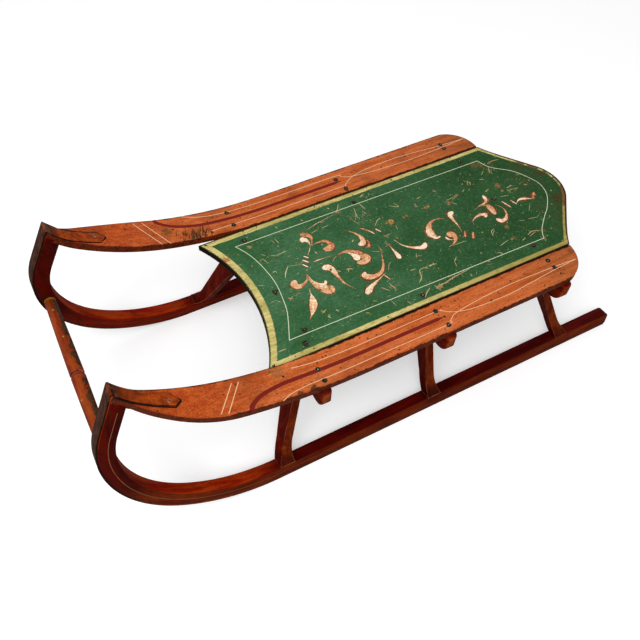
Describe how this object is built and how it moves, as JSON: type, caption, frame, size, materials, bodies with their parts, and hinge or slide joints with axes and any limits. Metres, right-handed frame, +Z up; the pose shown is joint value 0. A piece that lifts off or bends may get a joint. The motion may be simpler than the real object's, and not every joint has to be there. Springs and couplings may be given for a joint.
{
  "type": "snow sled",
  "caption": "Child's wooden snow sled with high bentwood runners, iron shoes, splayed side rails, posts, crossbars, a front rung and a painted deck board.",
  "frame": {"origin": "on the ground, under the middle of the sled's length and width", "axes": "+X towards the front of the sled, +Y to its left, +Z up"},
  "size_m": [0.9133, 0.387, 0.3549],
  "materials": {
    "deck_paint": "worn dark green oil paint",
    "rail_paint": "worn orange stain and varnish",
    "runner_paint": "worn dark red paint",
    "rung_varnish": "worn orange-brown varnish",
    "shoe_iron": "brown rusted iron strip"
  },
  "bodies": {
    "root": {"deck_board": "deck_paint", "rail_left": "rail_paint", "rail_right": "rail_paint", "runner_left": "runner_paint", "runner_right": "runner_paint", "shoe_left": "shoe_iron", "shoe_right": "shoe_iron", "crossbar_front": "runner_paint", "crossbar_middle": "runner_paint", "crossbar_rear": "runner_paint", "front_rung": "rung_varnish", "post_left_front": "runner_paint", "post_left_middle": "runner_paint", "post_left_rear": "runner_paint", "post_right_front": "runner_paint", "post_right_middle": "runner_paint", "post_right_rear": "runner_paint"}
  },
  "joints": []
}
